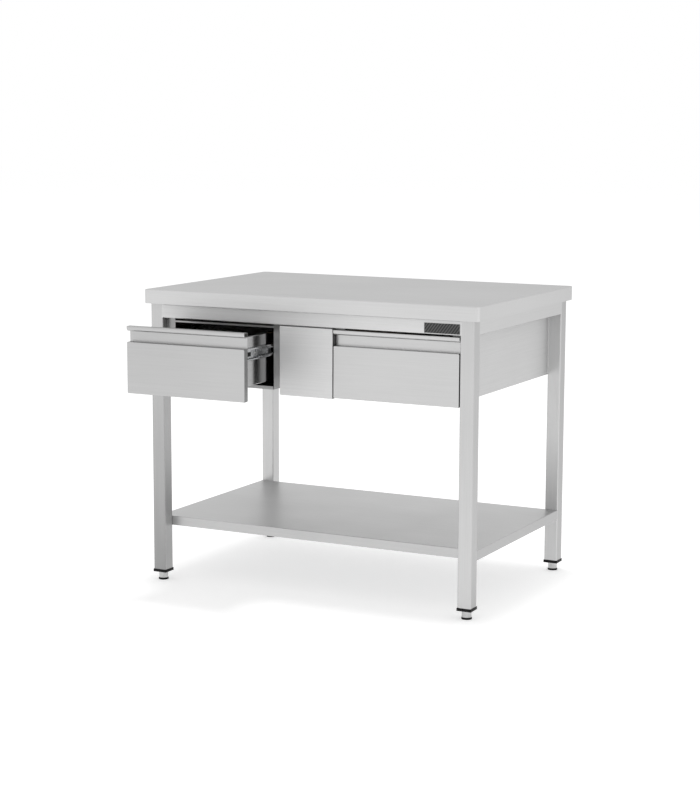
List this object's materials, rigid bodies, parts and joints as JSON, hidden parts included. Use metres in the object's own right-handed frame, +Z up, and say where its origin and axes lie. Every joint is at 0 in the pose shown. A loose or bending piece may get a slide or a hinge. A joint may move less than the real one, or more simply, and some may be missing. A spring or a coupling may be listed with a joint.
{
  "type": "kitchen work table",
  "caption": "Stainless steel work table with two drawers on ball runners, a fixed middle panel, closed sides, an undershelf and levelling feet.",
  "frame": {"origin": "on the floor, under the middle of the whole footprint with the left drawer drawn open", "axes": "+X along the front towards the right, +Y from the front to the back, +Z up"},
  "size_m": [1.04, 0.878, 0.85],
  "materials": {
    "stainless_sheet": "brushed satin",
    "stainless_tube": "brushed satin",
    "zinc_steel": "zinc plated",
    "turned_steel": "turned, polished",
    "black_plastic": "matte",
    "core_board": "laminated chipboard"
  },
  "bodies": {
    "table": {"worktop_pan": "stainless_sheet", "worktop_core_board": "core_board", "worktop_channel_left": "zinc_steel", "worktop_channel_right": "zinc_steel", "leg_front_left": "stainless_tube", "leg_front_right": "stainless_tube", "leg_rear_left": "stainless_tube", "leg_rear_right": "stainless_tube", "rail_front": "stainless_tube", "rail_rear": "stainless_tube", "rail_left": "stainless_tube", "rail_right": "stainless_tube", "side_panel_left": "stainless_sheet", "side_panel_right": "stainless_sheet", "rear_panel": "stainless_sheet", "middle_panel": "stainless_sheet", "undershelf": "stainless_sheet", "undershelf_channel": "zinc_steel", "leg_plug_front_left": "black_plastic", "leg_plug_front_right": "black_plastic", "leg_plug_rear_left": "black_plastic", "leg_plug_rear_right": "black_plastic", "left_housing": "stainless_sheet", "left_housing_tie": "stainless_sheet", "left_fixed_runner_leg_side": "zinc_steel", "left_fixed_runner_middle_side": "zinc_steel", "right_housing": "stainless_sheet", "right_housing_tie": "stainless_sheet", "right_fixed_runner_leg_side": "zinc_steel", "right_fixed_runner_middle_side": "zinc_steel"},
    "left_drawer": {"left_drawer_front": "stainless_sheet", "left_front_liner": "zinc_steel", "left_drawer_box": "stainless_sheet", "left_drawer_runner_leg_side": "zinc_steel", "left_drawer_runner_middle_side": "zinc_steel", "left_runner_stops": "black_plastic"},
    "left_middle_runners": {"left_middle_runner_leg_side": "zinc_steel", "left_middle_runner_middle_side": "zinc_steel"},
    "left_outer_cages": {"left_outer_ball_cages": "zinc_steel"},
    "left_inner_cages": {"left_inner_ball_cages": "zinc_steel"},
    "right_drawer": {"right_drawer_front": "stainless_sheet", "right_front_liner": "zinc_steel", "right_drawer_box": "stainless_sheet", "right_drawer_runner_leg_side": "zinc_steel", "right_drawer_runner_middle_side": "zinc_steel", "right_runner_stops": "black_plastic"},
    "right_middle_runners": {"right_middle_runner_leg_side": "zinc_steel", "right_middle_runner_middle_side": "zinc_steel"},
    "right_outer_cages": {"right_outer_ball_cages": "zinc_steel"},
    "right_inner_cages": {"right_inner_ball_cages": "zinc_steel"},
    "foot_front_left": {"foot_front_left": "turned_steel", "foot_base_front_left": "black_plastic"},
    "foot_front_right": {"foot_front_right": "turned_steel", "foot_base_front_right": "black_plastic"},
    "foot_rear_left": {"foot_rear_left": "turned_steel", "foot_base_rear_left": "black_plastic"},
    "foot_rear_right": {"foot_rear_right": "turned_steel", "foot_base_rear_right": "black_plastic"}
  },
  "joints": [
    {"name": "left_drawer_slide", "type": "slide", "parent": "table", "child": "left_drawer", "axis": [0, -1, 0], "range_m": [-0.19, 0.31]},
    {"name": "left_middle_runners_slide", "type": "slide", "parent": "table", "child": "left_middle_runners", "axis": [0, -1, 0], "range_m": [-0.095, 0.155]},
    {"name": "left_outer_cages_slide", "type": "slide", "parent": "table", "child": "left_outer_cages", "axis": [0, -1, 0], "range_m": [-0.1425, 0.2325]},
    {"name": "left_inner_cages_slide", "type": "slide", "parent": "table", "child": "left_inner_cages", "axis": [0, -1, 0], "range_m": [-0.0475, 0.0775]},
    {"name": "right_drawer_slide", "type": "slide", "parent": "table", "child": "right_drawer", "axis": [0, -1, 0], "range_m": [0, 0.5]},
    {"name": "right_middle_runners_slide", "type": "slide", "parent": "table", "child": "right_middle_runners", "axis": [0, -1, 0], "range_m": [0, 0.25]},
    {"name": "right_outer_cages_slide", "type": "slide", "parent": "table", "child": "right_outer_cages", "axis": [0, -1, 0], "range_m": [0, 0.375]},
    {"name": "right_inner_cages_slide", "type": "slide", "parent": "table", "child": "right_inner_cages", "axis": [0, -1, 0], "range_m": [0, 0.125]},
    {"name": "foot_front_left_level", "type": "slide", "parent": "table", "child": "foot_front_left", "axis": [0, 0, -1], "range_m": [0, 0.025]},
    {"name": "foot_front_right_level", "type": "slide", "parent": "table", "child": "foot_front_right", "axis": [0, 0, -1], "range_m": [0, 0.025]},
    {"name": "foot_rear_left_level", "type": "slide", "parent": "table", "child": "foot_rear_left", "axis": [0, 0, -1], "range_m": [0, 0.025]},
    {"name": "foot_rear_right_level", "type": "slide", "parent": "table", "child": "foot_rear_right", "axis": [0, 0, -1], "range_m": [0, 0.025]}
  ],
  "couplings": [
    {"joint": "left_middle_runners_slide", "follows": "left_drawer_slide", "ratio": 0.5},
    {"joint": "left_outer_cages_slide", "follows": "left_drawer_slide", "ratio": 0.75},
    {"joint": "left_inner_cages_slide", "follows": "left_drawer_slide", "ratio": 0.25},
    {"joint": "right_middle_runners_slide", "follows": "right_drawer_slide", "ratio": 0.5},
    {"joint": "right_outer_cages_slide", "follows": "right_drawer_slide", "ratio": 0.75},
    {"joint": "right_inner_cages_slide", "follows": "right_drawer_slide", "ratio": 0.25}
  ]
}
